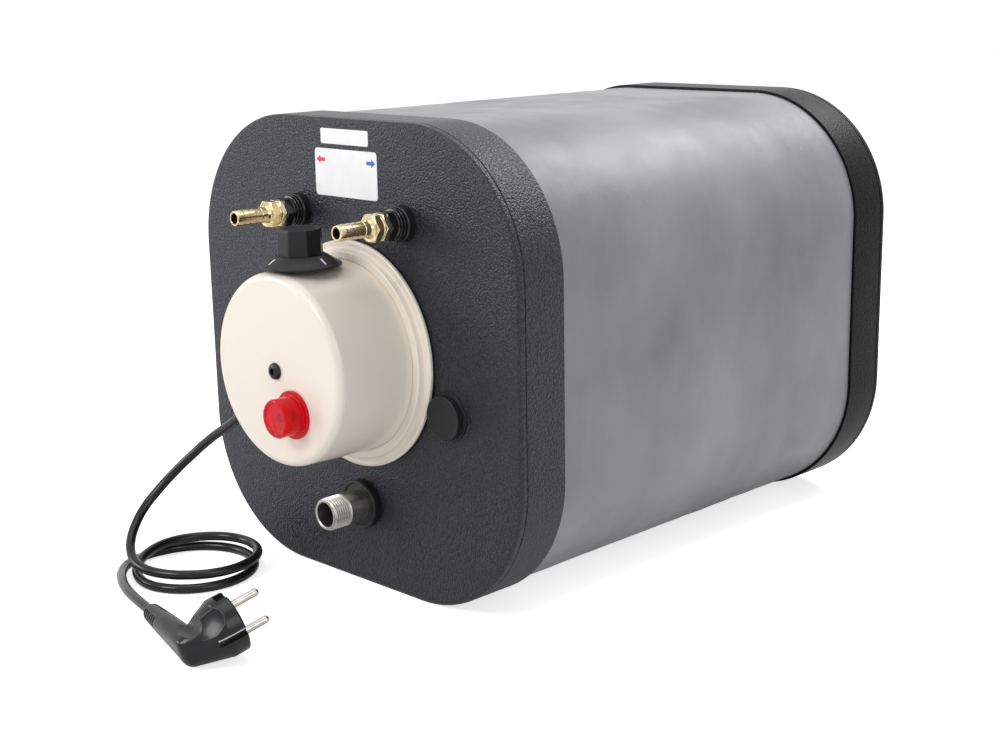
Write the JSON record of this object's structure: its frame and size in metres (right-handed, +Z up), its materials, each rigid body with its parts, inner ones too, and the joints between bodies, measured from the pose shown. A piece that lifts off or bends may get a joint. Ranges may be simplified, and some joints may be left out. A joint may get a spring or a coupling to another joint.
{
  "type": "caravan water heater",
  "caption": "Electric storage water heater for a caravan: insulated rounded square casing, round terminal cover with thermostat knob and lamp, brass hose tails, drain and corded plug.",
  "frame": {"origin": "on the floor, under the middle of the heater measured without its cord and plug", "axes": "+X to the right seen from the front, +Y from the front to the rear, +Z up; the front faces -Y"},
  "size_m": [0.3, 0.5496, 0.3],
  "materials": {
    "cover": "fine leather grain",
    "jacket": "satin",
    "foam": "matte",
    "stainless": "bright",
    "zinc": "plated",
    "seal": "satin",
    "brass": "polished",
    "ceramic": "matte",
    "copper": "bright",
    "ivory": "gloss",
    "black_metal": "black oxide",
    "lens": "translucent red",
    "bulb": "clear",
    "black_plastic": "satin",
    "black_gloss": "gloss",
    "button": "gloss",
    "wire_brown": "gloss",
    "wire_blue": "gloss",
    "wire_green": "gloss",
    "cord": "gloss",
    "nickel": "plated"
  },
  "bodies": {
    "heater": {"front_cover": "cover", "rear_cover": "cover", "jacket": "jacket", "insulation_sleeve": "foam", "insulation_front": "foam", "insulation_rear": "foam", "tank_barrel": "stainless", "tank_front_end": "stainless", "tank_rear_end": "stainless", "flange_ring": "stainless", "flange_studs": "zinc", "flange_gasket": "seal", "heater_flange": "brass", "flange_nuts": "zinc", "heating_element": "stainless", "element_terminals": "ceramic", "thermostat_pocket": "stainless", "thermostat_bulb": "copper", "capillary": "copper", "cover_pillar": "zinc", "terminal_cover": "ivory", "cover_base_ring": "ivory", "base_ring_seal": "seal", "cover_screw": "black_metal", "lamp_lens": "lens", "lamp_body": "ceramic", "lamp_nut": "ceramic", "lamp_bulb": "bulb", "thermostat_body": "ceramic", "thermostat_nut": "zinc", "limiter_body": "ceramic", "terminal_block": "ceramic", "terminal_screws": "brass", "earth_screw": "brass", "live_wires": "wire_brown", "neutral_wires": "wire_blue", "earth_wire": "wire_green", "cable_gland": "cord", "mains_cord": "cord", "cord_coil": "cord", "cord_tail": "cord", "plug_body": "black_plastic", "plug_pins": "nickel", "plug_earth_clips": "nickel", "hot_pipe": "stainless", "cold_pipe": "stainless", "drain_pipe": "stainless", "hot_coupling": "black_gloss", "cold_coupling": "black_gloss", "hot_hose_tail": "brass", "cold_hose_tail": "brass", "hot_grommet": "seal", "cold_grommet": "seal", "drain_grommet": "seal", "blanking_plug": "black_plastic"},
    "knob": {"thermostat_knob": "black_plastic", "thermostat_spindle": "zinc"},
    "reset_button": {"limiter_button": "button"}
  },
  "joints": [
    {"name": "knob_turn", "type": "hinge", "parent": "heater", "child": "knob", "pos_m": [0.006, -0.1925, 0.222], "axis": [0, 0, -1], "range_deg": [0, 270]},
    {"name": "reset_press", "type": "slide", "parent": "heater", "child": "reset_button", "axis": [0, 1, 0], "range_m": [0, 0.0015], "stiffness_N_per_m": 800}
  ]
}
